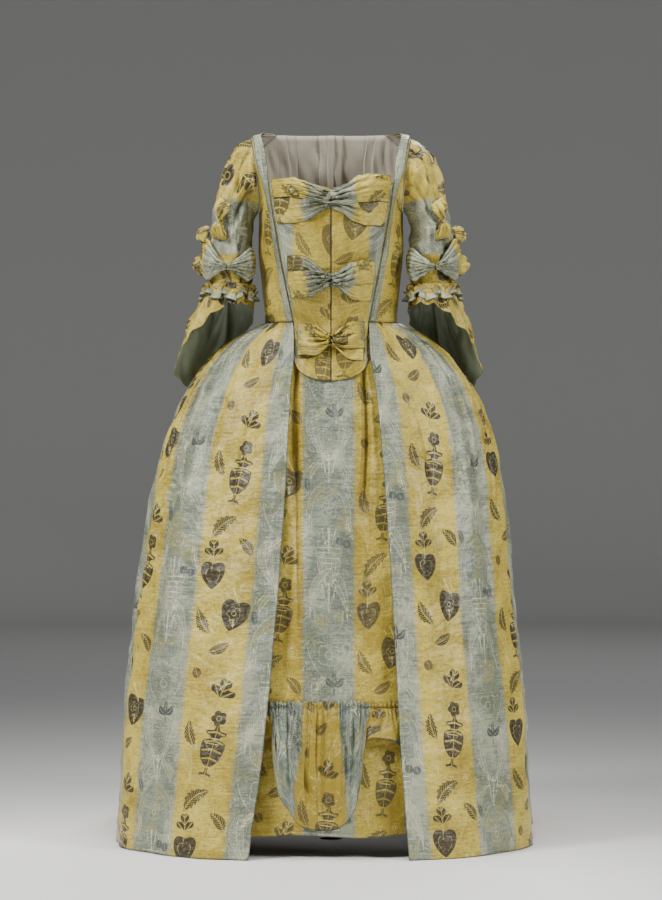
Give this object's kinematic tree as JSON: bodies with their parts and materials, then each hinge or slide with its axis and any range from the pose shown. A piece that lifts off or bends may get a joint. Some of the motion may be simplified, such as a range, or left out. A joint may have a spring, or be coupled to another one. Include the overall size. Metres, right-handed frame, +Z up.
{
  "type": "robe a la francaise",
  "caption": "Open gown with a pleated sack back and train, closed bow-trimmed front, flounced elbow sleeves and a matching petticoat, in striped silk; hollow, as worn.",
  "frame": {"origin": "between the wearer's shoulders, 1.25 m above the floor that the train hangs to, on the centre line", "axes": "+Z up; the front faces -Y and the sack back and train are towards +Y; +X is the wearer's left"},
  "size_m": [0.765, 0.908, 1.2592],
  "materials": {
    "striped_silk": "satin",
    "blue_silk": "satin",
    "bow_silk": "satin"
  },
  "bodies": {
    "root": {"petticoat": "striped_silk", "petticoat_flounce": "striped_silk", "gown_sack_back": "striped_silk", "gown_skirt_left": "striped_silk", "bodice_front_left": "striped_silk", "bodice_side_back_left": "striped_silk", "compere_left": "striped_silk", "sleeve_left": "striped_silk", "elbow_flounce_left": "striped_silk", "elbow_frill_left": "striped_silk", "gown_skirt_right": "striped_silk", "bodice_front_right": "striped_silk", "bodice_side_back_right": "striped_silk", "compere_right": "striped_silk", "sleeve_right": "striped_silk", "elbow_flounce_right": "striped_silk", "elbow_frill_right": "striped_silk", "robing_left": "blue_silk", "robing_right": "blue_silk", "elbow_bow_left": "bow_silk", "upper_bow_left": "bow_silk", "outer_bow_left": "bow_silk", "outer_elbow_bow_left": "bow_silk", "elbow_bow_right": "bow_silk", "upper_bow_right": "bow_silk", "outer_bow_right": "bow_silk", "outer_elbow_bow_right": "bow_silk", "bow_top_under": "bow_silk", "bow_top_over": "bow_silk", "bow_middle_under": "bow_silk", "bow_middle_over": "bow_silk", "bow_low_under": "bow_silk", "bow_low_over": "bow_silk"}
  },
  "joints": []
}
